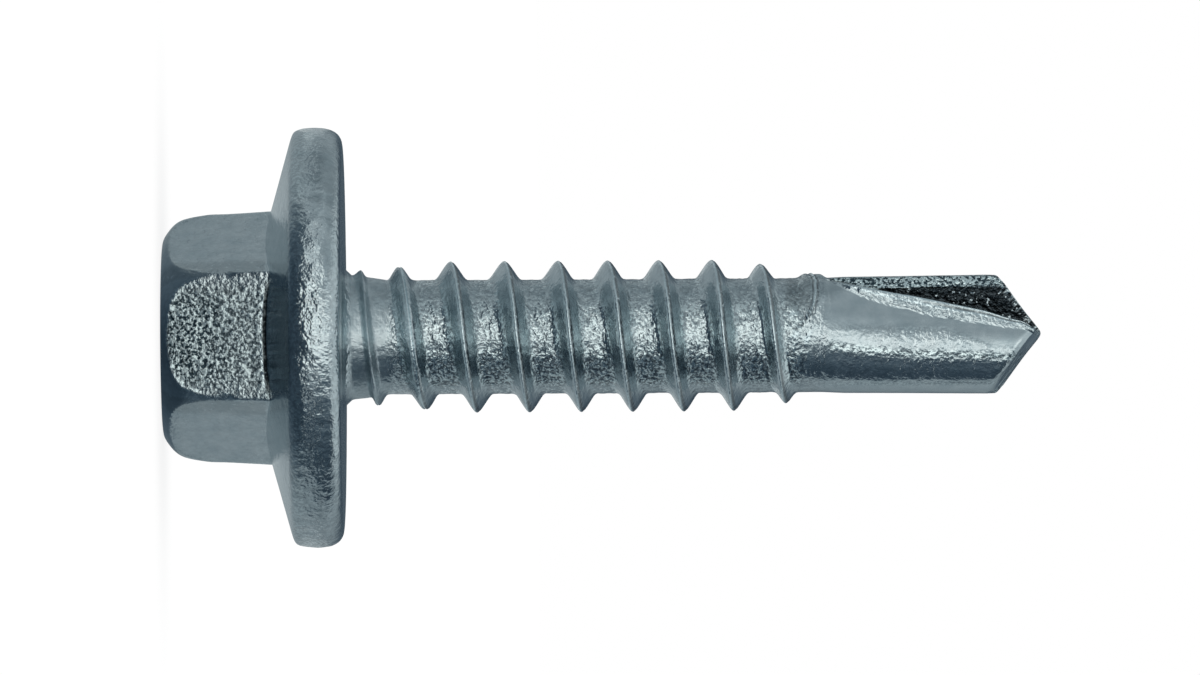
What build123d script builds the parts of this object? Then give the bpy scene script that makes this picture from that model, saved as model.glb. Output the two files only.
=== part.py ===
from build123d import *
import os
from math import cos, radians, sin, tan

# A self-drilling screw with a hexagon washer head. It is cold-headed, pinched to a drill
# point and thread-rolled from one length of steel wire, so it is one solid. Millimetres.
#
# +Z runs along the axis from the head to the point. The origin is the centre of the
# flange's flat underside, the face that bears on the sheet.

os.makedirs("parts", exist_ok=True)

# Hexagon head
head_height = 6.38             # bearing face to the flat top of the head
hex_across_flats = 7.86        # at the foot of the hexagon
hex_draft = 3.0                # degrees that each side leans in towards the top
hex_corner_radius = 0.40       # round on the six upright corners
crown_inset = 0.54             # the flat top ends this far inside the hexagon's sides
crown_depth = 1.32             # how far down the corners the crown reaches
crown_foot_angle = 82          # slope of the crown at its foot, in degrees
crown_overrun = 0.02           # the crown's foot lies this far outside the corners
crown_chords = 6               # short cones that make up the crown's curve

# Washer flange, forged in one with the head
flange_diameter = 14.86
rim_height = 1.71              # bearing face to where cone and rim would meet in a sharp edge
cone_angle = 15.6              # degrees that the cone rises towards the hexagon
rim_widest = 1.10              # the rim's widest circle, this far from the bearing face
cone_edge_round = 0.33         # how far in from the rim the round into the cone starts
bearing_edge_round = 0.63      # and the same for the round into the bearing face
flange_chords = 4              # short cones that make up each round of the flange and neck

# Shank
neck_diameter = 4.38           # under the head, thicker than the rolled core
neck_round = 0.50              # reach of the round between the neck and the bearing face
neck_length = 1.80             # from the bearing face until the neck has thinned to the core
core_diameter = 4.03

# Rolled thread, right-hand
thread_diameter = 5.37
thread_pitch = 1.82
flank_angle = 60               # degrees between the two flanks
crest_width = 0.10
thread_start = 0.50            # the ridge begins this far from the bearing face
thread_start_diameter = 4.66   # low crest there
crest_rise = 3.30              # length over which the crest climbs to full height
crest_run_out = 3.30           # length over which it sinks into the core at the other end
crest_crossing = 0.16          # height at which the crest line crosses the -X side
ridge_sink = 0.15              # how deep the ridge's foot is rooted in the core

# Drill point, pinched between two dies
screw_length = 24.63           # bearing face to the tip
drill_length = 7.23            # round body of the drill point, up to the tip
drill_collar = 0.20            # from the core to that body
drill_start_diameter = 4.10
drill_diameter = 4.28          # at the tip, a little more than at the start
point_angle = 105              # degrees between the two cutting lips
lip_relief = 15                # degrees that each flank falls away behind its lip
web_thickness = 1.20           # steel left between the two flutes
flute_fade = 1.05              # a flute's floor leaves the steel this far above that body
flute_floor_at_tip = 0.32      # distance of the floor from the axis, level with the tip
flute_root_radius = 0.15       # between the floor and the cutting face
margin_width = 0.45            # bevel along the outer edge of each cutting face
heel_radius = 0.20             # rolled edge between the floor and the round body

# Distances that follow from the sizes above
core_radius = core_diameter / 2
thread_radius = thread_diameter / 2
drill_radius = drill_diameter / 2
flange_radius = flange_diameter / 2
half_web = web_thickness / 2
cone_slope = tan(radians(cone_angle))
drill_start = screw_length - drill_length
thread_end = drill_start - drill_collar
flute_start = drill_start - flute_fade
clear = 1.0                    # how far the cutting forms reach past what they cut


def cone_height(radius):
    """Height of the flange's cone at a distance from the axis."""
    return -rim_height - (flange_radius - radius) * cone_slope


def eased(start, corner, end, chords):
    """Points that round off a corner: at a share t of the way, the start counts (1 - t) squared,
    the corner 2 t (1 - t) and the end t squared. Each chord turns into one short cone."""
    shares = [step / chords for step in range(chords + 1)]
    return [Vector(*start) * (1 - t) ** 2 + Vector(*corner) * 2 * t * (1 - t) + Vector(*end) * t ** 2
            for t in shares]


hex_foot = cone_height(hex_across_flats / 2)
hex_root = hex_foot + hex_across_flats / 2 * cone_slope


def half_hexagon(height):
    """Distance from the axis to a side of the hexagon, at a height along the axis."""
    return hex_across_flats / 2 - (hex_foot - height) * tan(radians(hex_draft))


def corner_reach(height):
    """Distance from the axis to a rounded corner of the hexagon, at a height."""
    to_corner = 1 / cos(radians(30))
    return half_hexagon(height) * to_corner - hex_corner_radius * (to_corner - 1)


# The hexagon is rooted inside the flange's cone, and its sides lean in towards the top. The
# crown is a round form that meets it: it rounds the top edge and cuts off the corners.
with BuildPart() as head:
    with BuildSketch(Plane.XY.offset(hex_root)):
        RegularPolygon(half_hexagon(hex_root), 6, major_radius=False)
    extrude(amount=-(head_height + hex_root), taper=hex_draft)
    corners = head.edges().filter_by(lambda edge: abs(edge.tangent_at(0.5).Z) > 0.9)
    fillet(corners, hex_corner_radius)
    with BuildSketch(Plane.XZ):
        crown_foot = crown_depth - head_height
        foot_radius = corner_reach(crown_foot) + crown_overrun
        foot_run = 1 / tan(radians(crown_foot_angle))
        skirt = (foot_radius + clear * foot_run, crown_foot + clear)
        with BuildLine():
            crown = eased((half_hexagon(-head_height) - crown_inset, -head_height),
                          (foot_radius - crown_depth * foot_run, -head_height),
                          (foot_radius, crown_foot), crown_chords)
            Polyline((0, -head_height), *crown, skirt, (skirt[0] + head_height, skirt[1]),
                     (skirt[0] + head_height, 0), (0, 0), close=True)
        make_face()
    revolve(axis=Axis.Z, mode=Mode.INTERSECT)

# Flange, neck, core and the collar into the drill point are one round outline.
with BuildPart() as body:
    with BuildSketch(Plane.XZ):
        with BuildLine():
            cone_edge = flange_radius - cone_edge_round
            upper_rim = eased((cone_edge, cone_height(cone_edge)),
                              (flange_radius, cone_height(flange_radius)),
                              (flange_radius, -rim_widest), flange_chords)
            lower_rim = eased((flange_radius, -rim_widest), (flange_radius, 0),
                              (flange_radius - bearing_edge_round, 0), flange_chords)
            neck_radius = neck_diameter / 2
            under_head = eased((neck_radius + neck_round, 0), (neck_radius, 0),
                               (neck_radius, neck_round), flange_chords)
            Polyline((0, cone_height(0)), *upper_rim, *lower_rim[1:], *under_head,
                     (core_radius, neck_length), (core_radius, thread_end),
                     (drill_start_diameter / 2, drill_start), (0, drill_start), close=True)
        make_face()
    revolve(axis=Axis.Z)

# The thread is one ridge wound round the core. The rolling dies leave it low under the
# head and let it run out before the drill point, so a round outline trims its crest.
with BuildPart() as thread:
    with BuildLine() as winding:
        helix = Helix(thread_pitch, thread_end - thread_start, thread_radius, (0, 0, thread_start))
    with BuildSketch(Plane(helix @ 0, x_dir=(1, 0, 0), z_dir=helix % 0)):
        depth = thread_radius - core_radius + ridge_sink
        half_crest = crest_width / 2
        half_foot = half_crest + depth * tan(radians(flank_angle / 2))
        Polygon((0, half_crest), (0, -half_crest), (-depth, -half_foot), (-depth, half_foot), align=None)
    sweep(path=helix, is_frenet=True)
    with BuildSketch(Plane.XZ):
        over_crest = thread_radius + crest_width / 4
        Polygon((0, 0), (thread_start_diameter / 2, 0), (thread_start_diameter / 2, thread_start),
                (over_crest, thread_start + crest_rise), (over_crest, thread_end - crest_run_out),
                (core_radius - crest_width / 4, thread_end), (0, thread_end), align=None)
    revolve(axis=Axis.Z, mode=Mode.INTERSECT)

# One flute, as the steel that it takes away: a floor that leans in towards the tip, an
# upright cutting face half a web in front of the axis, and a bevel along its outer edge.
with BuildPart() as flute:
    with BuildSketch(Plane.XZ.offset(half_web)):
        floor_at_start = drill_start_diameter / 2
        floor_lean = (floor_at_start - flute_floor_at_tip) / (screw_length - flute_start)
        past_tip = screw_length + clear
        outside = -drill_radius - clear
        Polygon((clear * floor_lean - flute_floor_at_tip, past_tip), (outside, past_tip),
                (outside, flute_start), (-floor_at_start, flute_start), align=None)
    extrude(amount=drill_radius + clear)
    root = flute.edges().group_by(Axis.Y)[-1].sort_by(Axis.X)[-1]
    fillet(root, flute_root_radius)
    with BuildSketch(Plane.XY.offset(drill_start)):
        Polygon((margin_width - drill_radius, -half_web), (outside, -half_web),
                (outside, clear + margin_width - half_web), align=None)
    extrude(amount=past_tip - drill_start)

# Drill point: a body that widens a little towards the lips. Each half of its end is a flat
# flank that slopes down from the tip and falls away behind its lip. Where a flute's floor
# meets the round body, the steel has rolled over into the heel.
with BuildPart() as drill:
    with BuildSketch(Plane.XZ):
        Polygon((0, drill_start), (drill_start_diameter / 2, drill_start), (drill_radius, screw_length),
                (0, screw_length), align=None)
    revolve(axis=Axis.Z)
    for side in (1, -1):
        uphill = (-side / tan(radians(point_angle / 2)), side * tan(radians(lip_relief)), 1)
        split(bisect_by=Plane((0, 0, screw_length), z_dir=uphill), keep=Keep.BOTTOM)
    with PolarLocations(0, 2):
        add(flute.part, mode=Mode.SUBTRACT)
    point_edges = drill.edges().filter_by_position(Axis.Z, drill_start, screw_length, (False, False))
    heels = point_edges.filter_by(GeomType.LINE, reverse=True).sort_by(SortBy.LENGTH)[-2:]
    fillet(heels, heel_radius)

# The whole screw. The ridge is turned so that its crest crosses the -X side where it should.
# The two flutes lie half a turn apart, and they fade out over the end of the core.
start_turn = 180 + 360 * (thread_start - crest_crossing) / thread_pitch

with BuildPart() as screw:
    add(body.part)
    add(head.part)
    add(thread.part, rotation=(0, 0, start_turn))
    with PolarLocations(0, 2):
        add(flute.part, mode=Mode.SUBTRACT)
    add(drill.part)

screw.part.label = "screw"
export_step(screw.part, "parts/screw.step")
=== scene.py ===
import math

import bpy
import numpy as np
from mathutils import Matrix, Vector


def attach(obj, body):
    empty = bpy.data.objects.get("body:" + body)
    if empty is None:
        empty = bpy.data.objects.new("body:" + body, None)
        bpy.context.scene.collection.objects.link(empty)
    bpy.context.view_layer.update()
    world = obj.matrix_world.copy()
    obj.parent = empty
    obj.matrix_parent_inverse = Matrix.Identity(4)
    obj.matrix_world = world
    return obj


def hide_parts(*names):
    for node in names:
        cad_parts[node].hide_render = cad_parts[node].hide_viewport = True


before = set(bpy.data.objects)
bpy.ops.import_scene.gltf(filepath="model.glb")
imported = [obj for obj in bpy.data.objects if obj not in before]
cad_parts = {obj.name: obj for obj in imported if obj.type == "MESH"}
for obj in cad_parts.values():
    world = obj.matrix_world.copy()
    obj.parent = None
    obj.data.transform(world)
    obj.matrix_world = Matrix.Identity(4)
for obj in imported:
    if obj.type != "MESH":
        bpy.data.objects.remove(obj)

# ---- Screw: one piece of wire, cold-headed, thread-rolled and pinched to a drill point.
# Bare plated steel with a teal-grey cast, mottled and pitted by the dies and the plating bath.

# Sizes are in millimetres, which turn into metres when a mesh is made. +Z runs from the head to
# the point, and the bearing face of the flange lies at z = 0.
METRE = 0.001
FULL_TURN = 2 * math.pi
FRONT = 1.5 * math.pi
PITCH = 1.82
CREST_CROSSING = 0.16
SCREW_LENGTH = 24.63
HEAD_TOP = -6.38
HEAD_COLUMNS = 368
SHANK_COLUMNS = HEAD_COLUMNS // 2

# Head: rings run from the centre of the flat top, over the crown, down the hexagon's sides,
# out along the cone, round the rim and in along the bearing face.
HEX_HALF = 3.93
HEX_FOOT = -2.68
HEX_DRAFT = math.tan(math.radians(3.0))
HEX_TURN = math.radians(-1.15)
HEX_CORNER = 0.42
CROWN_FOOT = -5.0
FLANGE_RADIUS = 7.43
RIM_HEIGHT = 1.71
CONE_SLOPE = math.tan(math.radians(15.6))
# Radius and height of the rim's outline and of the crown's.
RIM = np.array([(7.03, -1.82), (7.16, -1.772), (7.25, -1.72), (7.31, -1.655), (7.352, -1.575),
                (7.382, -1.48), (7.403, -1.38), (7.416, -1.27), (7.422, -1.16), (7.424, -1.05),
                (7.424, -0.94), (7.420, -0.83), (7.414, -0.72), (7.402, -0.61), (7.386, -0.52),
                (7.362, -0.43), (7.33, -0.35), (7.29, -0.28), (7.24, -0.215), (7.18, -0.155),
                (7.11, -0.105), (7.03, -0.06), (6.94, -0.03), (6.82, -0.01), (6.68, 0.0)])
CROWN = np.array([(3.14, -6.38), (3.30, -6.374), (3.45, -6.347), (3.55, -6.307), (3.65, -6.250),
                  (3.755, -6.175), (3.86, -6.095), (3.96, -6.005), (4.05, -5.905), (4.13, -5.785),
                  (4.20, -5.635), (4.258, -5.424), (4.300, -5.247), (4.337, -5.07), (4.40, -4.70),
                  (4.46, -4.30), (4.52, -3.90), (4.70, -2.40)])
# Heights of the crown's rings, shares of the way down the sides and out along the cone, and
# radii along the bearing face. Rings crowd where the form turns.
CROWN_RINGS = np.concatenate([[-6.38, -6.376, -6.365, -6.35, -6.33, -6.307, -6.28, -6.25, -6.22, -6.19],
                              np.linspace(-6.16, CROWN_FOOT, 17)])
SIDE_RINGS = np.concatenate([np.linspace(0, 0.40, 7)[1:], np.linspace(0.44, 0.60, 6),
                             [0.68, 0.76, 0.84, 0.91, 0.94, 0.955, 0.970, 0.985, 1.0]])
CONE_RINGS = [0.008, 0.02, 0.04, 0.08, 0.15, 0.24, 0.34, 0.45, 0.56, 0.67, 0.78, 0.89]
BEARING_RINGS = [6.2, 5.6, 5.0, 4.4, 3.9, 3.5]


def smooth(low, high, x):
    """Soft step: 0 below low, 1 above high and an S-curve between them."""
    share = np.clip((x - low) / (high - low), 0, 1)
    return share * share * (3 - 2 * share)


def hump(x, middle, width):
    """Bell curve: 1 at the middle and about a third at a width to either side of it."""
    return np.exp(-((x - middle) / width) ** 2)


def rounded_min(a, b, reach):
    """The smaller of a and b, with the crossing between them rounded over the given reach."""
    share = np.clip(0.5 + 0.5 * (a - b) / reach, 0, 1)
    return a * (1 - share) + b * share - reach * share * (1 - share)


def round_points(radius, angle, height):
    """Points at a radius and an angle round the axis, and a height along it."""
    return np.stack([radius * np.cos(angle), radius * np.sin(angle), height], axis=-1)


def hexagon(angle, height):
    """Distance from the axis to the hexagon's side: flat sides with round corners. The sides
    lean in by 3 degrees, and the die's step makes the front side's corners sharper to the foot."""
    sixth = math.radians(60)
    half = HEX_HALF - (HEX_FOOT - height) * HEX_DRAFT
    at_front = np.exp(-((np.mod(angle, FULL_TURN) - FRONT) / math.radians(42)) ** 6)
    corner = HEX_CORNER - 0.30 * smooth(-3.92, -3.72, height) * at_front
    turn = np.mod(angle - HEX_TURN, sixth) - sixth / 2
    from_corner = sixth / 2 - np.abs(turn)
    centre = (half - corner) / math.cos(sixth / 2)
    flat_ends = np.arctan2((half - corner) * math.tan(sixth / 2), half)
    flat = half / np.cos(turn)
    inside = np.maximum(corner ** 2 - (centre * np.sin(from_corner)) ** 2, 0)
    rounded = centre * np.cos(from_corner) + np.sqrt(inside)
    return np.where(np.abs(turn) < flat_ends, flat, rounded)


def cone(radius):
    """Height of the flange's cone at a distance from the axis."""
    return -RIM_HEIGHT - (FLANGE_RADIUS - radius) * CONE_SLOPE


def crown(height):
    """Distance from the axis to the crown's round form at a height."""
    return np.interp(height, CROWN[:, 1], CROWN[:, 0])


def side_radius(angle, height):
    """Distance from the axis to the head's side: the smaller of crown and hexagon. A fine burr
    stands along the curved edge where they meet."""
    side = hexagon(angle, height)
    burr = 0.022 * hump(crown(height) - side, 0.05, 0.035) * smooth(-6.12, -6.0, height)
    return rounded_min(crown(height), side, 0.06) + burr


def head_rings():
    """Points of the head, one ring per row. Each column starts on the flat top. Its radius is
    the smaller of the crown's and the hexagon's, then it follows the cone, the rim's outline
    and the flat bearing face. Columns crowd at the hexagon's corners."""
    column = np.arange(HEAD_COLUMNS) / HEAD_COLUMNS * FULL_TURN
    crowded = column - 0.55 * np.sin(6 * (column - HEX_TURN)) / 6
    level = np.ones(HEAD_COLUMNS)
    rows = [(crowded, radius * level, HEAD_TOP * level)
            for radius in np.linspace(0, CROWN[0, 0], 8)[1:-1]]
    for height in CROWN_RINGS:
        rows.append((crowded, side_radius(crowded, height * level), height * level))
    # Cone and hexagon meet at a height that depends on itself, so it is worked out in turns.
    foot = HEX_FOOT * level
    for attempt in range(4):
        foot = cone(hexagon(crowded, foot))
    for share in SIDE_RINGS:
        height = CROWN_FOOT + (foot - CROWN_FOOT) * share
        rows.append((crowded, side_radius(crowded, height), height))
    start = rows[-1][1]
    for share in CONE_RINGS:
        radius = start + (RIM[0, 0] - start) * share
        rows.append((crowded, radius, cone(radius)))
    rows += [(crowded, radius * level, height * level) for radius, height in RIM]
    for step, radius in enumerate(BEARING_RINGS):
        even = crowded + (column - crowded) * (step + 1) / len(BEARING_RINGS)
        rows.append((even, radius * level, 0 * level))
    angle, radius, height = (np.array(values) for values in zip(*rows))
    return round_points(radius, angle, height)


# Shank: a neck under the head, the rolled core and one ridge wound round it.
SHANK_START = -0.16
SHANK_END = 16.2
FLANK_SLOPE = math.tan(math.radians(30))
CREST_BLUNT = 0.082
FOOT_BLEND = 0.20
# Radius and height of the round under the head and of neck and core, then height and radius of
# the crest.
UNDER_HEAD = np.array([(3.2, 0.0), (2.95, 0.0), (2.78, 0.006), (2.62, 0.025), (2.51, 0.05),
                       (2.44, 0.08), (2.37, 0.125), (2.31, 0.19)])
NECK = np.array([(2.95, 0.0), (2.62, 0.02), (2.44, 0.075), (2.37, 0.124), (2.30, 0.194),
                 (2.226, 0.265), (2.19, 0.336), (2.165, 0.55), (2.138, 0.83), (2.09, 1.15),
                 (2.035, 1.5), (2.014, 1.64), (2.014, 17.2), (2.05, 17.4)])
CREST = np.array([(0.3, 2.36), (0.62, 2.40), (1.22, 2.41), (1.96, 2.495), (2.92, 2.56), (3.80, 2.68),
                  (4.9, 2.685), (13.4, 2.685), (13.83, 2.67), (14.72, 2.54), (15.53, 2.44), (16.2, 2.26),
                  (16.55, 2.16), (16.8, 2.02), (16.95, 1.80), (17.4, 1.70)])
# Rows of the mesh in one turn of the thread, as shares of the pitch. They crowd at the crest.
CREST_ROWS = np.array([0.0, 0.011, 0.026, 0.05, 0.085, 0.13, 0.18, 0.225, 0.265, 0.31, 0.37, 0.43])
THREAD_ROWS = np.concatenate([CREST_ROWS, [0.5], 1 - CREST_ROWS[:0:-1]])
# The dies ran unevenly, so the crest wanders along the axis. Turn of the thread, and shift there.
WANDER = np.array([(2.5, 0.0), (3.0, 0.08), (3.5, 0.04), (4.0, 0.16), (4.5, 0.05), (5.0, 0.085),
                   (5.5, 0.045), (6.0, 0.065), (6.5, 0.03), (7.0, 0.125), (7.5, -0.03), (8.0, 0.02),
                   (8.5, 0.0)])


def noise(points, size, seed):
    """Smooth random heights between -1 and 1. Random values sit on a cubic grid with cells of
    the given size, and each point blends the eight values at the corners of its cell."""
    grid = np.random.default_rng(seed).uniform(-1, 1, (32, 32, 32))
    cell = points / size
    low = np.floor(cell).astype(int)
    share = smooth(0, 1, cell - low)
    total = np.zeros(points.shape[:-1])
    for corner in np.ndindex(2, 2, 2):
        weight = np.prod(np.where(corner, share, 1 - share), axis=-1)
        x, y, z = np.moveaxis((low + corner) % 32, -1, 0)
        total += weight * grid[x, y, z]
    return total


def rounded_max(a, b, reach):
    """The larger of a and b, with the crossing between them rounded over the given reach. Also
    returns how much of it is b."""
    share = np.clip(0.5 + 0.5 * (b - a) / reach, 0, 1)
    return a * (1 - share) + b * share + reach * share * (1 - share), share


def along(height):
    """The first turn of the thread is shorter: height on the screw of an even winding's height."""
    turns = np.clip(1.5 - ((height - CREST_CROSSING) / PITCH + 0.5), 0, 1)
    return height + 0.46 * turns ** 1.6


def turns_up(angle, even_height):
    """Turns of the thread up to a point, which is a whole number on the crest line."""
    return (even_height - CREST_CROSSING) / PITCH - (angle - math.pi) / FULL_TURN


def wander(angle, even_height):
    """Shift along the axis that an uneven thread adds: the shifts of the crests below and above
    a point, blended by how far it lies between them."""
    turn = turns_up(angle, even_height)
    below = np.floor(turn)
    share = smooth(0, 1, turn - below)
    winding = below + (angle - math.pi) / FULL_TURN
    lower = np.interp(winding, WANDER[:, 0], WANDER[:, 1])
    upper = np.interp(winding + 1, WANDER[:, 0], WANDER[:, 1])
    return lower * (1 - share) + upper * share


def crest_offset(angle, even_height):
    """Distance along the axis from the nearest crest, and which turn of the thread that is."""
    turn = turns_up(angle, even_height)
    return (turn - np.round(turn)) * PITCH, np.round(turn)


def core(height):
    """Radius of the shank without its ridge."""
    return np.interp(height, NECK[:, 1], NECK[:, 0])


def ridge(angle, even_height, height):
    """Radius of the threaded shank. The ridge rises over the core with flanks at 30 degrees from
    upright, a small round crest and hollow roots. Its first turns are lapped over into a flat
    crest with a valley in it, and its last one is broad and ends in a soft shoulder."""
    from_crest, lap = crest_offset(angle, even_height)
    winding = lap + (angle - math.pi) / FULL_TURN
    crest_height = height - from_crest
    crest = np.interp(crest_height, CREST[:, 0], CREST[:, 1])
    lapped = smooth(0.9, 1.3, height) * (1 - smooth(2.9, 3.6, height))
    broad = 0.16 * smooth(15.9, 16.4, crest_height) * (1 + 0.8 * (from_crest > 0))
    beyond_top = np.maximum(np.abs(from_crest) - 0.045 * lapped - broad, 0)
    blunt = CREST_BLUNT + 0.050 * smooth(0.2, 0.9, -np.cos(angle)) * (1 - lapped)
    flank = crest + blunt / FLANK_SLOPE - 0.010 - np.sqrt(beyond_top ** 2 + blunt ** 2) / FLANK_SLOPE
    at_end = smooth(16.15, 16.45, crest_height) * (1 - smooth(16.65, 16.9, crest_height))
    shoulder = core(height) + 0.11 * at_end * hump(from_crest, -0.27, 0.17)
    joined, on_ridge = rounded_max(shoulder, flank, FOOT_BLEND)
    pressed = 0.014 * (1 - lapped) * (1 - smooth(15.7, 16.1, height)) * hump(from_crest, 0.052, 0.022)
    valley = 0.022 * lapped * hump(from_crest, 0, 0.03)
    joined = joined - (pressed + valley) * (on_ridge > 0.5)
    around = np.stack([np.cos(angle) * 3.2, np.sin(angle) * 3.2, from_crest / 0.12 + lap * 9.3], -1)
    streaks = noise(around, 1.0, 11) * 0.012 * (1 - on_ridge)
    streaks = streaks * smooth(1.0, 3.0, height) * (1 - smooth(15.4, 16.1, height))
    grown = smooth(-0.12, 0.02, winding)
    return core(height) + (joined + streaks - core(height)) * grown


def shank_rings():
    """Spiral grid of the shank. Each row follows the crest line round the axis, so that a turn
    further on it meets the row one pitch above. Rows are cut off level at both ends.
    Returns angle and even height of each row and column."""
    turns = math.ceil((SHANK_END - SHANK_START) / PITCH) + 3
    levels = (np.arange(turns)[:, None] + THREAD_ROWS[None, :]).ravel() * PITCH
    angle = np.arange(SHANK_COLUMNS + 1) / SHANK_COLUMNS * FULL_TURN
    base = CREST_CROSSING - PITCH / 2 - 2 * PITCH
    even = base + levels[:, None] + PITCH * angle[None, :] / FULL_TURN
    even = np.clip(even, SHANK_START, SHANK_END)
    return np.broadcast_to(angle, even.shape), even


# Drill point: a round body that the dies pinched flat on two sides. Each flute has a floor
# that leans in towards the tip and a cutting face; each half of the end is a flat flank.
# In a section, out counts along the normal of a flute's floor, and up square to it.
DRILL_FROM = 16.26
DRILL_LEVELS = np.concatenate([np.linspace(0, 0.13, 30)[:-1], np.linspace(0.13, 0.93, 52)[:-1],
                               np.linspace(0.93, 1, 12)])
# Columns on the margin, the cutting face, two parts of the floor, the rolled band and the land.
DRILL_COLUMNS = [6, 13, 9, 9, 13, 42]
END_SLOPE = (0.7673, -0.2180)
CHISEL_ROUND = 0.02
FLOOR_AT_TIP = 0.32
FLOOR_LEAN = 0.2089
RAKE_START = 0.36
RAKE_LEAN = 0.21
BEVEL_LEAN = 0.65
BAND_LEAN = -0.19
MARGIN_TURN = math.radians(11.6)
HEEL_ROUND = 0.10
ROOT_ROUND = 0.10
# The chisel edge meets a flute's floor at this share of the way from its root to its heel.
CHISEL_SHARE = 0.68
# Radius that stands for no flute.
OPEN = 9.0


def end_height(x, y):
    """Height of the pointed end: two flanks that meet in the chisel edge, a little domed."""
    flank = np.sqrt((END_SLOPE[0] * x + END_SLOPE[1] * y) ** 2 + CHISEL_ROUND ** 2) - CHISEL_ROUND
    return SCREW_LENGTH - flank - 0.10 * (1 - np.exp(-(x ** 2 + y ** 2) / 0.36))


def body_radius(angle, height, half=0):
    """Radius of the uncut drill point: the core with the ridge's end, then the round body,
    whose land shrinks behind each margin so that it clears the hole. The angle counts within
    one half of the section; the ridge's end lies on one of the two halves."""
    body = np.interp(height, [16.9, 17.7, SCREW_LENGTH], [2.014, 2.058, 2.14])
    relief = np.interp(height, [17.0, 17.9, 18.6, 19.7, 21.8, 23.0, 24.2], [0, 7, 11, 15, 19, 22, 27])
    behind = np.mod(math.pi + MARGIN_TURN - angle, math.pi) / math.radians(105)
    sunk = np.clip(behind, 0, 1.10) ** 1.6 * (1 - smooth(1.25, 1.68, behind))
    land = body * np.exp(-np.tan(np.radians(relief)) * sunk)
    on_screw = np.mod(angle + half * math.pi, FULL_TURN)
    above_core = ridge(on_screw, height, height) - core(height)
    return land + above_core * (1 - smooth(16.95, 17.5, height))


def flute_floor(to_tip):
    """Distance of a flute's floor from the axis: it leans in towards the tip, bulges a little
    halfway and curves in to the axis at the very end."""
    bulge = 0.105 * smooth(0.9, 2.2, to_tip) - 0.04 * smooth(4.3, 5.5, to_tip)
    curl = 0.34 * np.clip(1 - to_tip / 0.75, 0, 1) ** 1.5
    return FLOOR_AT_TIP + to_tip * FLOOR_LEAN + bulge - curl


def bevel_reach(height):
    """How far up the margin's bevel would lie if it ran in until it is no way out."""
    return np.interp(height, [17.4, 21.8, 23.2], [1.75, 1.82, 1.90])


def rake_end(height):
    """How far out the cutting face ends and the margin's bevel starts."""
    return (bevel_reach(height) - RAKE_START) / (BEVEL_LEAN + RAKE_LEAN)


def band_width(height):
    """Width of the band that is rolled over beside a flute's heel."""
    return np.interp(height, [17.25, 18.4, 20.5, 22.0, 23.5, 24.4], [0.02, 0.28, 0.50, 0.45, 0.30, 0.15])


def land_angle(out, height, half):
    """Angle at which the land lies at a distance out, worked out in turns with its radius."""
    angle = np.ones_like(height)
    for attempt in range(6):
        angle = np.arccos(np.clip(out / body_radius(angle, height, half), 0, 1))
    return angle


def band_start(floor, height, half):
    """Where the rolled band starts on the land, along a ragged line: how far out, at what angle
    and how far up."""
    place = np.stack([height, np.full_like(height, half * 7.0), 0 * height], -1)
    width = band_width(height) * (1 + 0.16 * noise(place, 0.30, 41) + 0.10 * noise(place, 0.13, 43))
    out = np.maximum(floor - width, 0.05)
    angle = land_angle(out, height, half)
    return out, angle, body_radius(angle, height, half) * np.sin(angle)


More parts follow.
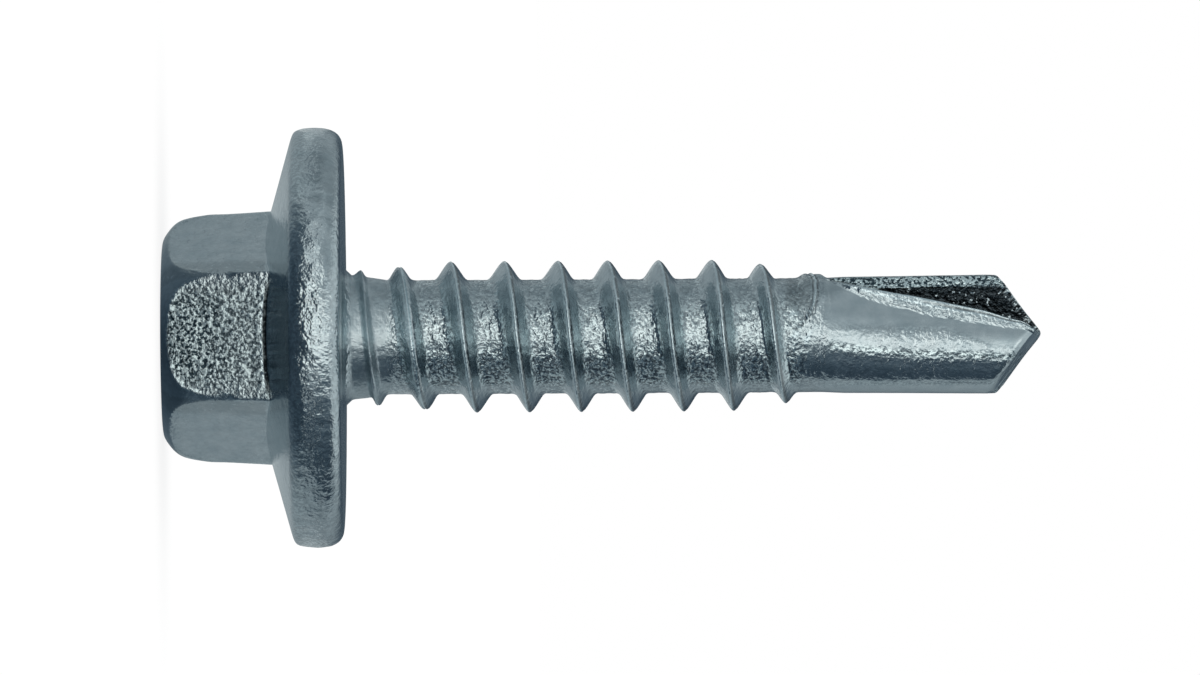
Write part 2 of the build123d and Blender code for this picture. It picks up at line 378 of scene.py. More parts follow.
def drill_section(height, half, below_end):
    """Angle and radius of each column of half the section, at a height per column. A row's
    points lie at angles shared out between the margin, the cutting face, the flute's floor, its
    heel, the rolled band and the round land. Along a direction, the smaller of land and flute is
    taken. The land rounds over into the flank where it is little below the end."""
    column = np.concatenate([np.arange(count) / count + place for place, count in enumerate(DRILL_COLUMNS)])
    place = column.astype(int)
    share = column - place
    index = np.arange(len(column))
    outer = MARGIN_TURN
    floor = flute_floor(SCREW_LENGTH - height)
    bevel = bevel_reach(height)
    corner = rake_end(height)
    inner = np.arctan2(bevel - BEVEL_LEAN * corner, corner)
    root_up = np.minimum(RAKE_START + RAKE_LEAN * floor, bevel - BEVEL_LEAN * floor)
    root = np.maximum(np.arctan2(np.maximum(root_up, 0.0), floor), outer + 0.03)
    inner = np.minimum(inner, root - 0.015)
    band_out, band_angle, band_up = band_start(floor, height, half)
    heel_up = band_up + BAND_LEAN * (floor - band_out)
    rolls = smooth(17.3, 18.1, height)
    heel = np.arctan2(heel_up, floor) * rolls + land_angle(floor, height, half) * (1 - rolls)
    heel = np.maximum(heel, root + 0.05)
    chisel = np.maximum(root + (heel - root) * CHISEL_SHARE, root + 0.02)
    band_angle = np.maximum(band_angle, heel + 0.01)
    keys = np.array([np.full_like(height, outer), inner, root, chisel, heel, band_angle,
                     np.full_like(height, outer + math.pi)])
    angle = keys[place, index] * (1 - share) + keys[place + 1, index] * share

    land = body_radius(np.where(angle < inner, outer, angle), height, half)
    edge_round = smooth(0, math.radians(28), outer + math.pi - angle) * smooth(0.05, 0.35, angle - inner)
    land = land - 0.15 * edge_round * np.clip(1 - below_end / 0.30, 0, 1) ** 2
    band_slope = np.maximum(np.sin(angle) - BAND_LEAN * np.cos(angle), 1e-3)
    rolled = (band_up - BAND_LEAN * band_out) / band_slope
    across_band = (angle - heel) / np.maximum(band_angle - heel, 0.01)
    groove = 0.022 * hump(across_band, 0.26, 0.10) * smooth(20.0, 21.5, height)
    on_band = (angle < band_angle) & (angle > root)
    rolled = np.where(on_band, np.maximum(land, rolled) - groove, land)
    land = land * (1 - rolls) + rolled * rolls

    across = np.maximum(np.cos(angle), 1e-3)
    up = np.maximum(np.sin(angle), 1e-3)
    wall = RAKE_START / np.maximum(up - RAKE_LEAN * across, 1e-3)
    wall = np.minimum(wall, bevel / (BEVEL_LEAN * across + up))
    flute = rounded_max(wall, floor / across, ROOT_ROUND)[0]
    flute = np.where(angle < math.pi / 2, flute, OPEN)
    heel_side = angle > (root + heel) / 2
    return angle, np.where(heel_side, rounded_min(flute, land, HEEL_ROUND), np.minimum(flute, land))


def drill_point():
    """Rows of the drill point, the last one being its end edge. The end's height comes from
    going back and forth between a section's radius and the flank's height at that radius. The
    second half of each row is turned by half a turn."""
    end = np.full(sum(DRILL_COLUMNS), SCREW_LENGTH - 0.5)
    for attempt in range(60):
        angle, radius = drill_section(end, 0, 0)
        end = end * 0.6 + end_height(radius * np.cos(angle), radius * np.sin(angle)) * 0.4
    halves = []
    for half, sign in ((0, 1), (1, -1)):
        rows = []
        for level in DRILL_LEVELS:
            height = DRILL_FROM + (end - DRILL_FROM) * level
            angle, radius = drill_section(height, half, end - height)
            rows.append(round_points(radius * sign, angle, height))
        halves.append(rows)
    return np.concatenate(halves, axis=1)


# The parts' points are numbered one after the other, and triangles join them into one skin.
parts = [np.array([[0, 0, HEAD_TOP]])]
triangles = []


def numbered(grid):
    """Add a grid of points to the skin, and return the number of each."""
    first = sum(len(part) for part in parts)
    parts.append(grid.reshape(-1, 3))
    return first + np.arange(len(parts[-1])).reshape(grid.shape[:-1])


def between(lower, upper):
    """Two triangles for each step round a closed ring and the next one, or round many of them."""
    after_lower = np.roll(lower, -1, axis=-1)
    after_upper = np.roll(upper, -1, axis=-1)
    return np.concatenate([np.stack([lower, after_lower, after_upper], -1).reshape(-1, 3),
                           np.stack([lower, after_upper, upper], -1).reshape(-1, 3)])


def open_grid(number):
    """Two triangles for each cell of a grid of numbered points whose edges stay open."""
    a, b = number[:-1, :-1].ravel(), number[:-1, 1:].ravel()
    c, d = number[1:, 1:].ravel(), number[1:, :-1].ravel()
    return np.concatenate([np.stack([a, b, c], -1), np.stack([a, c, d], -1)])


def stitch(lower, upper, lower_angle, upper_angle):
    """Triangles between two rings with any numbers of points, both sorted by angle from 0."""
    count, other = len(lower), len(upper)
    middle = (lower_angle + np.append(lower_angle[1:], lower_angle[0] + FULL_TURN)) / 2
    apex = np.searchsorted(upper_angle, middle)
    near = np.stack([lower, np.roll(lower, -1), upper[apex % other]], axis=-1)
    step = np.arange(1, other + 1)
    base = np.searchsorted(apex, step, side="left")
    far = np.stack([upper, lower[base % count], upper[step % other]], axis=-1)
    return np.concatenate([near, far])


head = numbered(head_rings())
triangles.append(np.stack([0 * head[0], np.roll(head[0], -1), head[0]], -1))
triangles.append(between(head[:-1], head[1:]))

# Under the head two columns become one, and the round into the neck starts.
even_angle = np.arange(SHANK_COLUMNS) / SHANK_COLUMNS * FULL_TURN
under_radius, under_height = np.repeat(UNDER_HEAD.T[:, :, None], SHANK_COLUMNS, axis=2)
under = numbered(round_points(under_radius, even_angle, under_height))
pair = head[-1].reshape(-1, 2)
after = np.roll(under[0], -1)
triangles.append(np.stack([pair[:, 0], pair[:, 1], under[0]], -1))
triangles.append(np.stack([pair[:, 1], np.roll(pair[:, 0], -1), after], -1))
triangles.append(np.stack([under[0], pair[:, 1], after], -1))
triangles.append(between(under[:-1], under[1:]))

# The shank's last column meets its first one a turn higher. Rows beyond the level ends fall
# together, and their empty triangles are left out.
angle, even = shank_rings()
height = along(even) + wander(angle, even)
shank = numbered(round_points(ridge(angle, even, height), angle, height)[:, :-1])
row = np.arange(len(even))
column = np.arange(SHANK_COLUMNS)
first_row = np.maximum((even <= SHANK_START + 1e-9).sum(0) - 1, 0)
last_row = np.minimum(len(even) - (even >= SHANK_END - 1e-9).sum(0), len(even) - 1)
kept_row = np.clip(row[:, None], first_row, last_row)
meeting_row = np.clip(row + len(THREAD_ROWS), first_row[0], last_row[0])
faces = open_grid(np.column_stack([shank[kept_row[:, :-1], column], shank[meeting_row, 0]]))
empty = (faces == np.roll(faces, 1, axis=1)).any(axis=1)
triangles.append(faces[~empty])
triangles.append(between(under[-1], shank[first_row[:-1], column]))

drill_points = drill_point()
drill = numbered(drill_points)
triangles.append(between(drill[:-1], drill[1:]))
drill_angle = np.mod(np.arctan2(drill_points[0, :, 1], drill_points[0, :, 0]), FULL_TURN)
order = np.argsort(drill_angle)
shank_high = shank[last_row[:-1], column]
triangles.append(stitch(shank_high, drill[0][order], even_angle, drill_angle[order]))

# The two end flanks are the end edge, drawn in to the tip in rings.
share = np.linspace(1, 0, 13)[1:-1, None]
x, y = drill_points[-1, :, 0] * share, drill_points[-1, :, 1] * share
end = numbered(np.stack([x, y, end_height(x, y)], -1))
triangles.append(between(drill[-1], end[0]))
triangles.append(between(end[:-1], end[1:]))
tip = numbered(np.array([[0, 0, SCREW_LENGTH]]))
triangles.append(np.stack([end[-1], np.roll(end[-1], -1), tip.repeat(end.shape[1])], -1))

# Points off the shank count as far from any crest. Points that no triangle uses are dropped.
FAR_OFF = 9.0
points = np.concatenate(parts)
triangles = np.concatenate(triangles)
from_crest = np.full(len(points), FAR_OFF)
from_crest[shank] = crest_offset(angle, even)[0][:, :-1]
used = np.unique(triangles)
renumber = np.full(len(points), -1)
renumber[used] = np.arange(len(used))
points = points[used]
from_crest = from_crest[used]
triangles = renumber[triangles]


def normals_of(points, triangles):
    """Direction outward at each point: the sum of the cross products of its triangles."""
    corner = points[triangles]
    face = np.cross(corner[:, 1] - corner[:, 0], corner[:, 2] - corner[:, 0])
    total = np.zeros_like(points)
    for place in range(3):
        for axis in range(3):
            total[:, axis] += np.bincount(triangles[:, place], face[:, axis], len(points))
    return total / np.maximum(np.linalg.norm(total, axis=1), 1e-12)[:, None]


def bearing_of(points):
    """Angle of each point round the axis, from 0 to a full turn."""
    return np.mod(np.arctan2(points[:, 1], points[:, 0]), FULL_TURN)


def fold(points):
    """Height of the lip where the rolled zone laps over the drill point: a rounded bead between
    two shallow dips, along a curve round the -Y side. Also returns how much painted highlight
    the lip gets and how much painted shade lies in the dips."""
    turn = np.degrees(bearing_of(points))
    edge = np.interp(turn, [160, 186, 206, 223, 237, 248, 257, 266, 275],
                     [16.45, 16.56, 16.69, 16.66, 16.58, 16.45, 16.15, 15.95, 15.8])
    edge = edge + 0.03 * noise(points * [1, 1, 0], 0.35, 21)
    past = points[:, 2] - edge
    bead = hump(past, 0, 0.045) - 0.45 * hump(past, 0.10, 0.04) - 0.45 * hump(past, -0.10, 0.04)
    dip_shade = hump(past, 0.078, 0.030) + 0.8 * hump(past, -0.082, 0.030)
    strength = smooth(150, 175, turn) * (1 - smooth(258, 272, turn))
    return bead * strength, hump(past, 0, 0.030) * strength, dip_shade * strength


# Relief of the skin: lumps of the plating, higher on the rim and in the thread's roots, and the
# lip, the feathers and a streak where the pinched steel laps over the thread's end.
outward = normals_of(points, triangles)
reach = np.hypot(points[:, 0], points[:, 1])
height = points[:, 2]
turn = np.degrees(bearing_of(points))
on_rim = smooth(7.15, 7.35, reach)
on_root = smooth(1.3, 2.6, height) * (1 - smooth(2.10, 2.35, reach)) * (1 - smooth(15.8, 16.6, height))
on_point = smooth(16.3, 17.0, height)
lapping = smooth(15.5, 15.9, height) * (1 - smooth(16.45, 16.75, height))
lapping = lapping * smooth(150, 200, turn) * (1 - smooth(300, 340, turn))
lumps = noise(points, 0.42, 3) * 0.6 + noise(points, 0.24, 5) * 0.4
lump_height = 0.003 + 0.021 * on_rim + 0.012 * on_root - 0.001 * on_point + 0.004 * lapping
slant = np.stack([points[:, 0] * 0.5 + height * 0.87, points[:, 0] * 0.12 - height * 0.07,
                  points[:, 1] * 0.3], -1)
feathers = noise(slant * [1, 1.6, 1], 0.10, 31) * 0.018 * lapping
feathers = feathers * smooth(236, 246, turn) * (1 - smooth(280, 292, turn))
streak = 0.035 * hump(turn, 315, 2.2) * smooth(16.1, 16.25, height) * (1 - smooth(16.6, 16.75, height))
fold_bead, fold_highlight, fold_shade = fold(points)
shift = lumps * lump_height + 0.038 * fold_bead + feathers + streak
# The rim is drawn in by about its lumps' height, nothing stands out of the bearing face, and
# the flat top stays flat.
shift = shift - 0.014 * on_rim
on_bearing_face = (np.abs(outward[:, 2]) > 0.98) & (reach > 2.7) & (height > -0.1)
shift = np.where(on_bearing_face, np.minimum(shift, 0), shift)
shift = np.where(height < HEAD_TOP + 0.02, 0, shift)
points = points + outward * shift[:, None]
points[:, 2] = np.clip(points[:, 2], HEAD_TOP, SCREW_LENGTH)


def new_mesh(name, points, triangles):
    """Blender object from points in millimetres and triangles."""
    mesh = bpy.data.meshes.new(name)
    mesh.vertices.add(len(points))
    mesh.vertices.foreach_set("co", (points * METRE).astype(np.float32).ravel())
    mesh.loops.add(triangles.size)
    mesh.loops.foreach_set("vertex_index", triangles.astype(np.int32).ravel())
    mesh.polygons.add(len(triangles))
    mesh.polygons.foreach_set("loop_start", np.arange(0, triangles.size, 3, dtype=np.int32))
    mesh.update(calc_edges=True)
    mesh.validate()
    made = bpy.data.objects.new(name, mesh)
    bpy.context.scene.collection.objects.link(made)
    return made


screw = new_mesh("screw_metal", points, triangles)
mesh = screw.data
mesh.shade_smooth()
mesh.set_sharp_from_angle(angle=math.radians(33))

# Regions of the drill point. Theta counts within one half of its section.
bearing = bearing_of(points)
theta = np.mod(bearing, math.pi)
reach = np.hypot(points[:, 0], points[:, 1])
height = points[:, 2]
out = reach * np.cos(theta)
floor_at = flute_floor(SCREW_LENGTH - height)
below_end = end_height(points[:, 0], points[:, 1]) - height
below_land = body_radius(theta, height) - reach
on_rake = (out < rake_end(height) - 0.015) & (below_land > 0) & (out > floor_at - 0.03)
in_flute = smooth(0.015, 0.06, below_land) * (theta < math.radians(89)) * on_rake
in_flute = in_flute * smooth(17.05, 17.3, height) * smooth(0.0, 0.03, below_end)
lip = (1 - smooth(0.12, 0.34, below_end)) * in_flute
margin = smooth(17.0, 17.3, height) * (out > rake_end(height) - 0.03) * (theta < math.radians(60))
margin = margin * smooth(floor_at - 0.01, floor_at + 0.03, out)
band = band_width(height)
by_heel = theta < math.radians(100)
in_band = smooth(floor_at - band - 0.08, floor_at - band, out) * by_heel
from_heel = (floor_at - out) / np.maximum(band, 0.02)
heel_line = hump(from_heel, 0.26, 0.09) * smooth(20.0, 21.5, height) * (1 - in_flute) * by_heel
heel_highlight = (hump(from_heel, 0.08, 0.08) + hump(from_heel, 0.45, 0.08)) * by_heel
heel_highlight = heel_highlight * smooth(17.4, 18.4, height) * (1 - in_flute)
root_line = hump(out, floor_at, 0.03) * smooth(17.3, 17.5, height) * (1 - smooth(18.6, 19.2, height))
root_line = root_line * (theta < math.radians(23))
on_drill = smooth(16.7, 17.3, height)

# Regions of the head: the hexagon's front side, its edges and foot, and the crease behind it.
from_front = np.degrees(np.abs(bearing - FRONT))
beside_face = np.exp(-((bearing - FRONT) / math.radians(27)) ** 8)
hex_reach = hexagon(bearing, np.full_like(height, HEX_FOOT))
from_cone = height - cone(hex_reach)
crown_gap = crown(height) - hexagon(bearing, height)
on_face = beside_face * (height < HEX_FOOT + 0.1) * (reach < hexagon(bearing, height) + 0.03)
on_face = on_face * (height > -6.2) * smooth(0.0, 0.03, crown_gap) * (from_front < 29.5)
face_edge = on_face * np.maximum(1 - smooth(0.05, 0.11, crown_gap), smooth(26.5, 28.3, from_front))
foot_line = on_face * hump(from_cone, -0.130, 0.024)
crease = hump(np.hypot(reach - hex_reach - 0.085, from_cone), 0, 0.045)
behind_foot = (reach < hex_reach + 0.13) * (reach > 3.7) * (from_front < 29.5)
crease = np.maximum(crease, smooth(-0.100, -0.075, from_cone) * behind_foot)
crease = crease * beside_face * (height < -1.9)
# The hexagon's sides just past the front side's corners are darkened a little.
darkened_corner = smooth(29, 31, from_front) * (1 - smooth(38, 44, from_front))
darkened_corner = darkened_corner * (reach < 4.8) * (height < HEX_FOOT)
on_hexagon = (height < -2.6) & (reach < 4.7)
on_flange = (height < 0.3) & (reach < 6.9) & (reach > 2.6) & (height > -2.75) & ~on_hexagon

# Regions of the shank.
beside_crest = hump(from_crest, 0.075, 0.035) * smooth(2.2, 3.2, height)
crest_line = hump(from_crest, 0.01, 0.035) * smooth(0.9, 1.5, height) * (1 - smooth(15.9, 16.2, height))
on_flank = smooth(0.10, 0.2, np.abs(from_crest)) * (1 - smooth(0.36, 0.46, np.abs(from_crest)))
behind_lip = smooth(15.55, 15.75, height) * (1 - smooth(16.45, 16.55, height))
behind_lip = behind_lip * smooth(175, 195, turn) * (1 - smooth(238, 248, turn))
root_shade = smooth(0.35, 0.8, points[:, 0]) * (1 - smooth(1.60, 1.80, points[:, 0]))
root_middle = smooth(-1.5, -0.8, points[:, 0]) * (1 - smooth(1.60, 1.80, points[:, 0]))
neck_satin = smooth(0.1, 0.4, height) * (1 - smooth(1.2, 2.0, height))


def most(*layers):
    """The largest of several values at each point."""
    return np.maximum.reduce(np.broadcast_arrays(*layers))


# Painted shade darkens the flutes, creases and dips, the grooves beside the heel and the root,
# the line beside each crest, a band behind the lip and the hexagon's sides past the front corners.
painted_shade = most(in_flute, 0.85 * beside_crest, 0.9 * crease, 0.20 * darkened_corner, 0.85 * fold_shade,
            0.30 * behind_lip, 0.75 * heel_line, root_line)
# Painted highlights brighten what stands out beside them: the crest lines, the lip, the heel's lines, the
# front side's edges and foot, and the feathers.
painted_highlight = most(0.9 * crest_line, fold_highlight, heel_highlight, 0.85 * face_edge, foot_line,
              0.8 * smooth(0.004, 0.010, feathers))

# Depth of the grain. The land is smooth on both sides of a coarse strip, margins and cutting
# faces are the deepest, and the flange's cone and bearing face are shallow.
STRIP_FOOT = -1.72
strip_top = np.interp(height, [16, 21.3, 22.95], [0.32, 0.2, -0.46])
strip_middle = np.interp(height, [16.1, 19.6, 23.4], [-0.46, -0.81, -0.96])
land_grain = 0.10 + 0.50 * (1 - smooth(strip_top - 0.12, strip_top + 0.10, out))
land_grain = land_grain + 0.55 * hump(out, strip_middle, 0.14)
land_grain = land_grain - 0.45 * (1 - smooth(STRIP_FOOT, -1.55, out))
land_grain = most(land_grain, 0.08, in_band, 2.2 * margin, 1.3 * in_flute)
grain = 0.72 + 0.28 * np.clip(on_root + 0.3 * on_rim, 0, 1) + 0.60 * on_root * root_shade
grain = grain * (1 - 0.45 * on_rim * smooth(1.5, 3.5, -points[:, 0]))
grain = grain * (1 - 0.2 * neck_satin) * (1 - 0.6 * on_flank * smooth(2.0, 3.0, height))
grain = np.where(on_hexagon, 0.35 + 0.35 * beside_face, grain)
grain = np.where(on_flange, 0.30, grain)
grain = grain * (1 - on_drill) + land_grain * on_drill

# Salt-and-pepper specks: the bright ones are painted glints, the dark ones partly pits and partly
# painted shade. They are thickest on the hexagon's front side and on the margins. On the land
# they follow the strip, more thinly on the side away from the front.
ragged = 0.80 * hump(out, strip_middle + 0.17, 0.11) + 0.15 * hump(out, strip_top, 0.07)
ragged = ragged + 0.25 * hump(out, STRIP_FOOT, 0.06)
specks = 0.92 * margin + 0.08 * lapping + 0.12 * in_band * on_drill
specks = specks + on_root * (0.12 + 0.22 * root_middle + 0.22 * root_shade)
specks = specks + 0.16 * on_rim * (1 - smooth(-1.35, -1.15, height))
specks = specks + ragged * smooth(16.9, 17.3, height) * (1 - in_flute) * (0.25 + 0.75 * (bearing > math.pi))
specks = most(specks, (1.0 - 0.20 * smooth(-5.0, -3.6, height)) * on_face, face_edge)
satin = neck_satin + 1.15 * on_face * (1 - foot_line)

# The material reads these values at each point, among them the painted shade, the painted
# highlights and the specks with their painted glints.
for name, values in (("painted_shade", painted_shade), ("lip", lip), ("grain", grain), ("specks", np.clip(specks, 0, 1)),
                     ("satin", satin), ("painted_highlight", np.clip(painted_highlight, 0, 1))):
    attribute = mesh.attributes.new(name, "FLOAT", "POINT")
    attribute.data.foreach_set("value", values.astype(np.float32))


def maths(tree, operation, a, b=None, c=None, clamp=False):
    """Math node in a tree. Each of a, b and c is a number or an output."""
    node = tree.nodes.new("ShaderNodeMath")
    node.operation = operation
    node.use_clamp = clamp
    for place, value in enumerate((a, b, c)):
        if value is None:
            continue
        if isinstance(value, (int, float)):
            node.inputs[place].default_value = value
        else:
            tree.links.new(value, node.inputs[place])
    return node.outputs[0]


def noise_node(tree, vector, scale, detail, roughness):
    """Noise texture in a tree; returns its value."""
    node = tree.nodes.new("ShaderNodeTexNoise")
    node.inputs["Scale"].default_value = scale
    node.inputs["Detail"].default_value = detail
    node.inputs["Roughness"].default_value = roughness
    tree.links.new(vector, node.inputs["Vector"])
    return node.outputs["Fac"]


# Grainy skin: bubbles of plating over two finer grains, in patches. It gives out their height,
# the pits between the bubbles, fine specks and a few rare flakes.
skin = bpy.data.node_groups.new("grainy_skin", "ShaderNodeTree")
skin.interface.new_socket("Vector", in_out="INPUT", socket_type="NodeSocketVector")
skin.interface.new_socket("Grain", in_out="INPUT", socket_type="NodeSocketFloat")
for socket in ("Height", "Pits", "Specks", "Flakes"):
    skin.interface.new_socket(socket, in_out="OUTPUT", socket_type="NodeSocketFloat")
skin_in = skin.nodes.new("NodeGroupInput")
skin_out = skin.nodes.new("NodeGroupOutput")
vector = skin_in.outputs["Vector"]
bubbles = skin.nodes.new("ShaderNodeTexVoronoi")
bubbles.feature = "SMOOTH_F1"
bubbles.inputs["Scale"].default_value = 5600
bubbles.inputs["Smoothness"].default_value = 0.35
bubbles.inputs["Randomness"].default_value = 1.0
skin.links.new(vector, bubbles.inputs["Vector"])
dome = maths(skin, "SUBTRACT", 0.7, bubbles.outputs["Distance"])
medium = noise_node(skin, vector, 3600, 2.0, 0.55)
small = noise_node(skin, vector, 9000, 1.0, 0.5)
patch = maths(skin, "MULTIPLY_ADD", noise_node(skin, vector, 900, 2.0, 0.5), 2.4, -0.45, clamp=True)
height_sum = maths(skin, "ADD", maths(skin, "MULTIPLY", dome, 0.30), maths(skin, "MULTIPLY", medium, 1.2))
height_sum = maths(skin, "ADD", height_sum, maths(skin, "MULTIPLY", small, 0.75))
patchy = maths(skin, "MULTIPLY", skin_in.outputs["Grain"], maths(skin, "MULTIPLY_ADD", patch, 0.6, 0.55))
skin.links.new(maths(skin, "MULTIPLY", height_sum, patchy), skin_out.inputs["Height"])
pits = maths(skin, "MULTIPLY_ADD", bubbles.outputs["Distance"], 3.0, -1.15, clamp=True)
skin.links.new(pits, skin_out.inputs["Pits"])
fine = noise_node(skin, vector, 9000, 1.0, 0.6)
skin.links.new(maths(skin, "MULTIPLY_ADD", fine, 8.0, -3.45, clamp=True), skin_out.inputs["Specks"])
rare = noise_node(skin, vector, 7800, 0.0, 0.5)
skin.links.new(maths(skin, "MULTIPLY_ADD", rare, 20.0, -14.0, clamp=True), skin_out.inputs["Flakes"])

# Plated steel. Its colours are linear ones.
DULL_STEEL = (0.50, 0.585, 0.62, 1)
BRIGHT_STEEL = (0.66, 0.73, 0.755, 1)
PIT = (0.16, 0.19, 0.21, 1)
PEPPER = (0.050, 0.080, 0.100, 1)
# Bright specks are painted glints.
GLINT_SPECK = (0.86, 0.99, 1.0, 1)
# Colour of the painted highlights.
HIGHLIGHT_COLOUR = (0.80, 0.92, 0.96, 1)
# Colours of the painted shade.
DARK_SHADE = (0.006, 0.008, 0.010, 1)
PALE_SHADE = (0.036, 0.046, 0.054, 1)
GRAIN_HEIGHT = 0.038
metal = bpy.data.materials.new("plated_steel")
metal.use_nodes = True
tree = metal.node_tree
nodes = tree.nodes
links = tree.links
shader = nodes["Principled BSDF"]
shader.inputs["Metallic"].default_value = 1.0


def stored(name):
    """Value of a point attribute in the metal's tree."""
    node = nodes.new("ShaderNodeAttribute")
    node.attribute_name = name
    return node.outputs["Fac"]


def mix_colours(factor, first, second):
    """Mix of two colours in the metal's tree; each is a tuple or an output."""
    node = nodes.new("ShaderNodeMix")
    node.data_type = "RGBA"
    links.new(factor, node.inputs["Factor"])
    for socket, value in (("A", first), ("B", second)):
        if isinstance(value, tuple):
            node.inputs[socket].default_value = value
        else:
            links.new(value, node.inputs[socket])
    return node.outputs["Result"]


where = nodes.new("ShaderNodeTexCoord").outputs["Object"]
skin_node = nodes.new("ShaderNodeGroup")
skin_node.node_tree = skin
links.new(where, skin_node.inputs["Vector"])
links.new(stored("grain"), skin_node.inputs["Grain"])
bump = nodes.new("ShaderNodeBump")
bump.inputs["Strength"].default_value = 1.0
bump.inputs["Distance"].default_value = GRAIN_HEIGHT * METRE
links.new(skin_node.outputs["Height"], bump.inputs["Height"])
links.new(bump.outputs["Normal"], shader.inputs["Normal"])
mottle = noise_node(tree, where, 1500, 3.0, 0.6)
mottled = maths(tree, "MULTIPLY_ADD", mottle, 2.0, -0.5, clamp=True)
colour = mix_colours(mottled, DULL_STEEL, BRIGHT_STEEL)
pit_share = maths(tree, "MULTIPLY", stored("grain"), 0.25)
pit_share = maths(tree, "MULTIPLY", skin_node.outputs["Pits"], pit_share)
colour = mix_colours(pit_share, colour, PIT)
# Painted glints: bright specks, with dark ones, mixed in where the specks value says.
colour = mix_colours(stored("specks"), colour, mix_colours(skin_node.outputs["Specks"], PEPPER, GLINT_SPECK))
# Painted highlights on the crests, the lip, the heel and the front side's edges.
colour = mix_colours(stored("painted_highlight"), colour, HIGHLIGHT_COLOUR)
# Painted shade makes the cutting face nearly black, with a few bright flakes, and it is combed across its
# lip.
split = nodes.new("ShaderNodeSeparateXYZ")
links.new(where, split.inputs["Vector"])
beside = maths(tree, "ABSOLUTE", split.outputs["X"])
along_lip = maths(tree, "MULTIPLY_ADD", beside, 0.80, maths(tree, "MULTIPLY", split.outputs["Z"], -0.60))
comb_place = nodes.new("ShaderNodeCombineXYZ")
links.new(along_lip, comb_place.inputs["X"])
links.new(maths(tree, "MULTIPLY", split.outputs["Z"], 0.12), comb_place.inputs["Y"])
teeth = noise_node(tree, comb_place.outputs["Vector"], 9500, 0.0, 0.5)
teeth = maths(tree, "MULTIPLY_ADD", teeth, 9.0, -4.3, clamp=True)
bare = maths(tree, "MAXIMUM", skin_node.outputs["Flakes"], maths(tree, "MULTIPLY", teeth, stored("lip")))
shaded = maths(tree, "MULTIPLY", stored("painted_shade"), maths(tree, "MULTIPLY_ADD", bare, -0.90, 0.975))
colour = mix_colours(shaded, colour, mix_colours(skin_node.outputs["Specks"], DARK_SHADE, PALE_SHADE))
links.new(colour, shader.inputs["Base Color"])
dull = maths(tree, "MULTIPLY_ADD", stored("satin"), 0.16, 0.13)
links.new(maths(tree, "MULTIPLY_ADD", mottle, 0.10, dull), shader.inputs["Roughness"])
mesh.materials.append(metal)
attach(screw, "root")
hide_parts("screw")

# ---- Floor: a plain white sheet that the screw stands on, head down.
# It glows a little towards the camera, so that it stays white, and it takes a faint shadow.
FLOOR_HEIGHT = HEAD_TOP - 0.01
FLOOR_HALF = 3000
corners = np.array([[-1, -1], [1, -1], [1, 1], [-1, 1]]) * FLOOR_HALF
sheet = np.column_stack([corners, np.full(4, FLOOR_HEIGHT)])
floor = new_mesh("floor", sheet, np.array([[0, 1, 2], [0, 2, 3]]))
paper = bpy.data.materials.new("white_floor")
paper.use_nodes = True
paper_nodes = paper.node_tree.nodes
paper_shader = paper_nodes["Principled BSDF"]
paper_shader.inputs["Base Color"].default_value = (0.95, 0.95, 0.95, 1)
paper_shader.inputs["Roughness"].default_value = 1.0
paper_shader.inputs["Specular IOR Level"].default_value = 0.0
glow = paper_nodes.new("ShaderNodeEmission")
glow.inputs["Strength"].default_value = 1.04
mix = paper_nodes.new("ShaderNodeMixShader")
mix.inputs["Fac"].default_value = 0.8
paper.node_tree.links.new(paper_shader.outputs["BSDF"], mix.inputs[1])
paper.node_tree.links.new(glow.outputs["Emission"], mix.inputs[2])
paper.node_tree.links.new(mix.outputs["Shader"], paper_nodes["Material Output"].inputs["Surface"])
floor.data.materials.append(paper)
floor.visible_glossy = False

# ---- Light tent: cards round the screw that only its reflections see.
# A bright soft box in front, a grey ceiling fading behind it and a dark strip below. Cards are
# set by the screen brightness, from 0 to 255, that their reflection in the steel has.
TENT_RADIUS = 130.0
TENT_HALF = 131
TENT_TOP = 260.0
TENT_FOOT = HEAD_TOP - 0.04
SCREW_MIDDLE = 9
FAR_GREY = 172.0
# Turn round the screw's axis from the camera's side, upwards in its view, and the brightness
# there: beside head and thread, beside the drill point, and beside its tip.
ELEVATION = np.array([-180, -165, -150, -125, -110, -100, -92, -85, -78, -70, -57, -45, -33, -24, -17,
                      -11, -6, 0, 16, 27, 33, 39, 50, 63, 76, 91, 99, 108, 118, 130, 150, 165, 180])
SCREEN = np.array([62, 82, 126, 122, 120, 115, 102, 78, 62, 54, 57, 66, 72, 82, 112,
                   200, 243, 251, 251, 245, 228, 206, 178, 156, 134, 116, 110, 108, 112, 127, 136, 86, 62])
POINT_ELEVATION = np.array([-180, -165, -150, -130, -115, -106, -101, -96, -90, -80, -70, -58, -45,
                            -34, -27, -22, -17, -12, -6, 0, 6, 12, 20, 30, 40, 50, 60, 70, 80, 95,
                            130, 150, 165, 180])
POINT_SCREEN = np.array([62, 84, 118, 131, 138, 132, 112, 66, 50, 52, 62, 70, 82,
                         92, 96, 112, 156, 202, 228, 236, 233, 212, 180, 159, 147, 140, 139, 141, 132, 120,
                         127, 136, 92, 62])
TIP_SCREEN = np.array([92, 106, 118, 131, 138, 132, 112, 70, 56, 58, 66, 78, 92,
                       104, 116, 140, 184, 214, 224, 208, 180, 156, 142, 132, 130, 134, 154, 164, 146, 120,
                       127, 138, 118, 88])
STEEL = np.array([0.58, 0.66, 0.69])
TONES = [0, 40, 110, 200, 255]
cards = bpy.data.materials.new("light_cards")
cards.use_nodes = True
card_nodes = cards.node_tree.nodes
card_nodes.remove(card_nodes["Principled BSDF"])
shine = card_nodes.new("ShaderNodeEmission")
light = card_nodes.new("ShaderNodeAttribute")
light.attribute_name = "light"
cards.node_tree.links.new(light.outputs["Color"], shine.inputs["Color"])
cards.node_tree.links.new(shine.outputs["Emission"], card_nodes["Material Output"].inputs["Surface"])


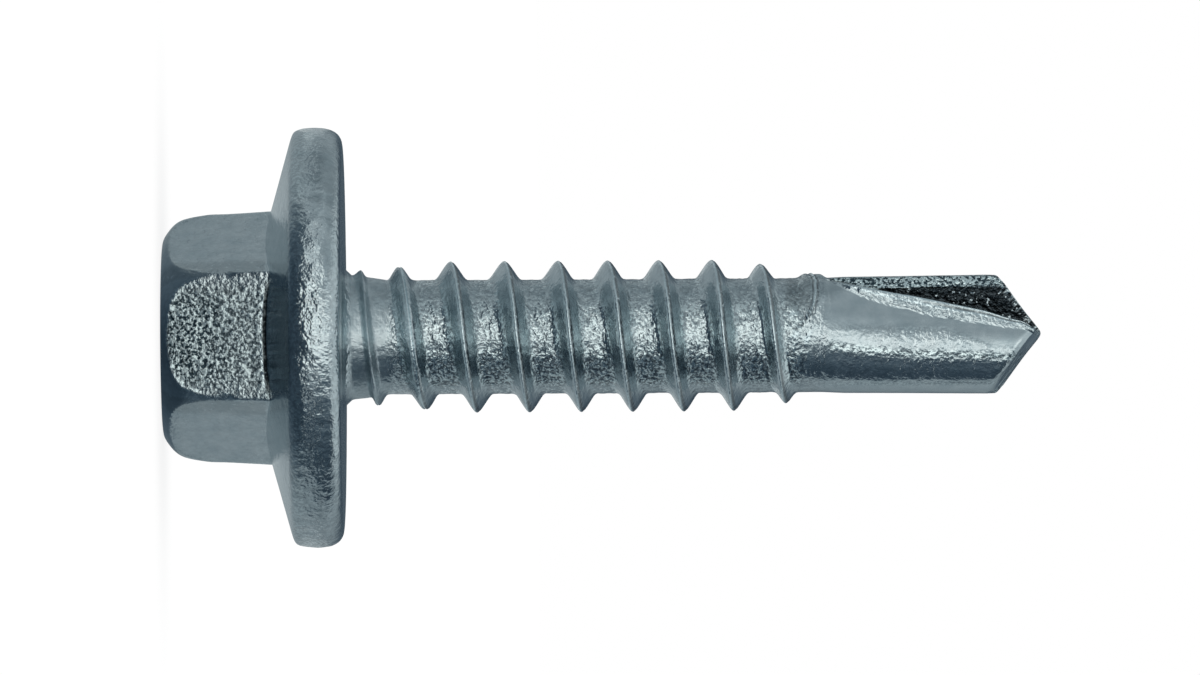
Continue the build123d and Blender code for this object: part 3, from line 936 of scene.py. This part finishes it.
def tent_colour(screen):
    """Linear light of a card whose reflection in the steel has the given screen brightness.
    Dark cards are bluer than bright ones, and the steel itself keeps two thirds of the light."""
    share = screen / 255
    level = np.where(share <= 0.04045, share / 12.92, ((share + 0.055) / 1.055) ** 2.4)
    red = level * np.interp(screen, TONES, [0.45, 0.52, 0.745, 0.83, 0.88])
    blue = level * np.interp(screen, TONES, [1.6, 1.5, 1.13, 1.04, 1.0])
    return np.stack([red, level, blue], -1) / STEEL


def card(name, points, colours):
    """Card from a grid of points with a colour each. It is seen in reflections only."""
    number = np.arange(points[..., 0].size).reshape(points.shape[:-1])
    made = new_mesh(name, points.reshape(-1, 3), open_grid(number))
    attribute = made.data.attributes.new("light", "FLOAT_COLOR", "POINT")
    colours = np.concatenate([colours.reshape(-1, 3), np.ones((number.size, 1))], -1)
    attribute.data.foreach_set("color", colours.astype(np.float32).ravel())
    made.data.materials.append(cards)
    made.visible_camera = False
    made.visible_diffuse = False
    made.visible_shadow = False
    made.visible_transmission = False


# Wall: bands along the axis for the strips, and towards the ends an even grey.
turn = np.linspace(-180, 180, 241)
level = np.concatenate([[TENT_FOOT, 0, 1, 3, 5, 8, 14], np.linspace(16, 22, 7), [24, 26, 28, 30, 34],
                        np.linspace(40, TENT_TOP, 12)])
turn, level = np.meshgrid(turn, level)
wall = round_points(np.full_like(turn, TENT_RADIUS), FRONT - np.radians(turn), level)
away = np.abs(turn)
at_point = smooth(15.8, 19.9, level)
at_tip = smooth(24.4, 28.0, level) * (1 - smooth(34, 44, level))
at_flange = 1 - smooth(1.0, 5.0, level)
beside_point = np.interp(turn, POINT_ELEVATION, POINT_SCREEN) * (1 - at_tip)
beside_point = beside_point + np.interp(turn, POINT_ELEVATION, TIP_SCREEN) * at_tip
near = np.interp(turn, ELEVATION, SCREEN) * (1 - at_point) + beside_point * at_point
near = near + at_flange * (60 * smooth(140, 165, away) - 16 * hump(turn, 96, 14))
near = near * (1 - 0.42 * smooth(26, 32, level) * (1 - smooth(44, 56, level)) * smooth(145, 160, away))
tilt = np.degrees(np.arctan2(level - SCREW_MIDDLE, TENT_RADIUS))
share = smooth(35, 62, tilt)[..., None]
far = tent_colour(np.full_like(turn, FAR_GREY))
card("tent_wall", wall, tent_colour(near) * (1 - share) + far * share)

# Roof: an even grey.
line = np.linspace(-TENT_HALF, TENT_HALF, 30)
x, y = np.meshgrid(line, line)
card("tent_roof", np.stack([x, y, np.full_like(x, TENT_TOP)], -1), tent_colour(np.full_like(x, FAR_GREY)))

# Floor card: dark before the screw, grey beside and behind it, and finest near the head.
line = np.linspace(-1, 1, 61)
line = np.sign(line) * np.abs(line) ** 2 * TENT_HALF
x, y = np.meshgrid(line, line)
behind = smooth(-7, 5, y + 0.4 * np.abs(x))
before = smooth(37, 73, -y)
far_behind = smooth(58, 95, y + 0.35 * np.abs(x))
close = (1 - smooth(4.5, 8.0, np.hypot(x, y))) * smooth(-3, 1, x)
glow_strip = hump(x, 0, 5.5) * smooth(5, 9, y)
above = smooth(2.5, 7, -x - 0.25 * np.abs(y)) * (1 - smooth(-3, 1, y))
screen = 57 + 75 * behind + 150 * before + 45 * far_behind - 26 * close + 55 * glow_strip + 15 * above
card("tent_floor", np.stack([x, y, np.full_like(x, TENT_FOOT)], -1), tent_colour(screen))

# ---- Surroundings: plain white, at a level that leaves the floor white.
world = bpy.data.worlds.new("white_surroundings")
bpy.context.scene.world = world
world.use_nodes = True
background = world.node_tree.nodes["Background"]
background.inputs["Color"].default_value = (1, 1, 1, 1)
background.inputs["Strength"].default_value = 1.0

# ---- Camera: far off and level with the screw, rolled so that its head lies to the left.
CAMERA_DISTANCE = 500
PICTURE_WIDTH = 42.40
SENSOR_WIDTH = 36
camera_data = bpy.data.cameras.new("camera")
camera = bpy.data.objects.new("camera", camera_data)
bpy.context.scene.collection.objects.link(camera)
bpy.context.scene.camera = camera
camera_data.sensor_width = SENSOR_WIDTH
camera_data.lens = SENSOR_WIDTH * CAMERA_DISTANCE / PICTURE_WIDTH
camera_data.clip_start = 0.01
camera_data.clip_end = 20
roll = math.radians(0.317)
right = Vector((math.sin(roll), 0, math.cos(roll)))
up = Vector((-math.cos(roll), 0, math.sin(roll)))
back = Vector((0, -1, 0))
place = Vector((0.052, -CAMERA_DISTANCE, 9.064)) * METRE
camera.matrix_world = Matrix(((right.x, up.x, back.x, place.x), (right.y, up.y, back.y, place.y),
                              (right.z, up.z, back.z, place.z), (0, 0, 0, 1)))

bpy.context.scene.view_settings.view_transform = "Standard"
